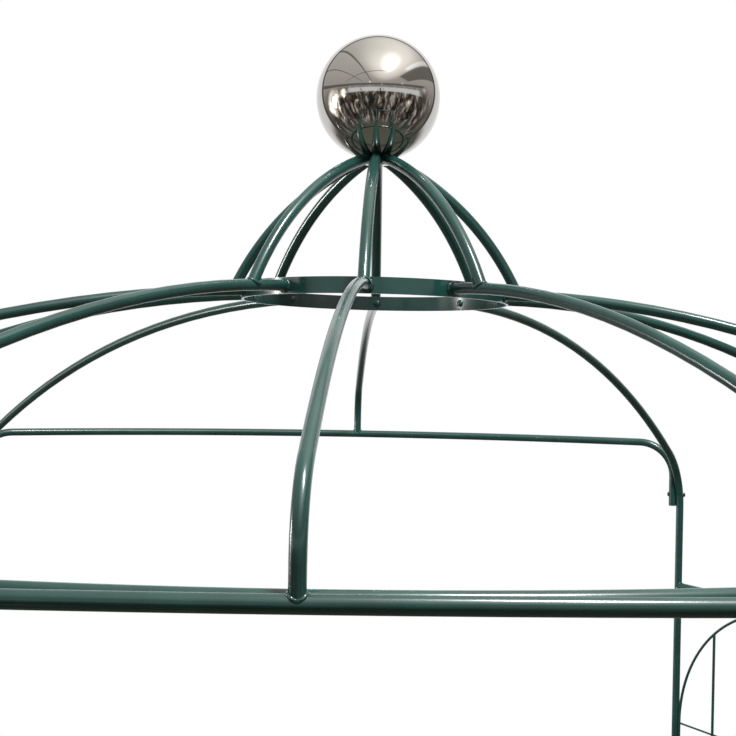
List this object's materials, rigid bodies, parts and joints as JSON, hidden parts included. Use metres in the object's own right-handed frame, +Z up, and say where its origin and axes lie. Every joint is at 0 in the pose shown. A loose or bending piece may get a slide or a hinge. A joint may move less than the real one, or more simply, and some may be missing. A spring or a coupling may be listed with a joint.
{
  "type": "metal rose pavilion",
  "caption": "Open round garden pavilion of bent green steel tube for climbing roses, with two entrances, arched trellis sides and a mirror ball on a ribbed crown.",
  "frame": {"origin": "middle of the frame at ground level, under the foot plates", "axes": "+Z up, the front entrance faces -Y, +X to the right of someone facing the front entrance from outside"},
  "size_m": [3.075, 2.6744, 2.978],
  "materials": {
    "green_coat": "glossy moss green powder coat",
    "mirror_steel": "mirror polished stainless steel",
    "zinc_bolts": "domed bolt heads coated over in the frame's green"
  },
  "bodies": {
    "root": {"finial_ball": "mirror_steel", "finial_hub": "mirror_steel", "crown_leg_1": "green_coat", "crown_leg_2": "green_coat", "crown_leg_3": "green_coat", "crown_leg_4": "green_coat", "crown_leg_5": "green_coat", "crown_leg_6": "green_coat", "crown_leg_7": "green_coat", "crown_leg_8": "green_coat", "top_ring": "green_coat", "post_rib_1": "green_coat", "post_rib_2": "green_coat", "post_rib_3": "green_coat", "post_rib_4": "green_coat", "post_rib_5": "green_coat", "post_rib_6": "green_coat", "post_rib_7": "green_coat", "post_rib_8": "green_coat", "front_mid_rib": "green_coat", "back_mid_rib": "green_coat", "front_header": "green_coat", "back_header": "green_coat", "front_inner_tube": "green_coat", "header_bolts": "zinc_bolts", "side_rails_1": "green_coat", "side_rails_2": "green_coat", "side_rails_3": "green_coat", "side_rails_4": "green_coat", "side_rails_5": "green_coat", "side_rails_6": "green_coat", "trellis_1": "green_coat", "trellis_2": "green_coat", "trellis_3": "green_coat", "trellis_4": "green_coat", "trellis_5": "green_coat", "trellis_6": "green_coat", "foot_plates": "green_coat"}
  },
  "joints": []
}
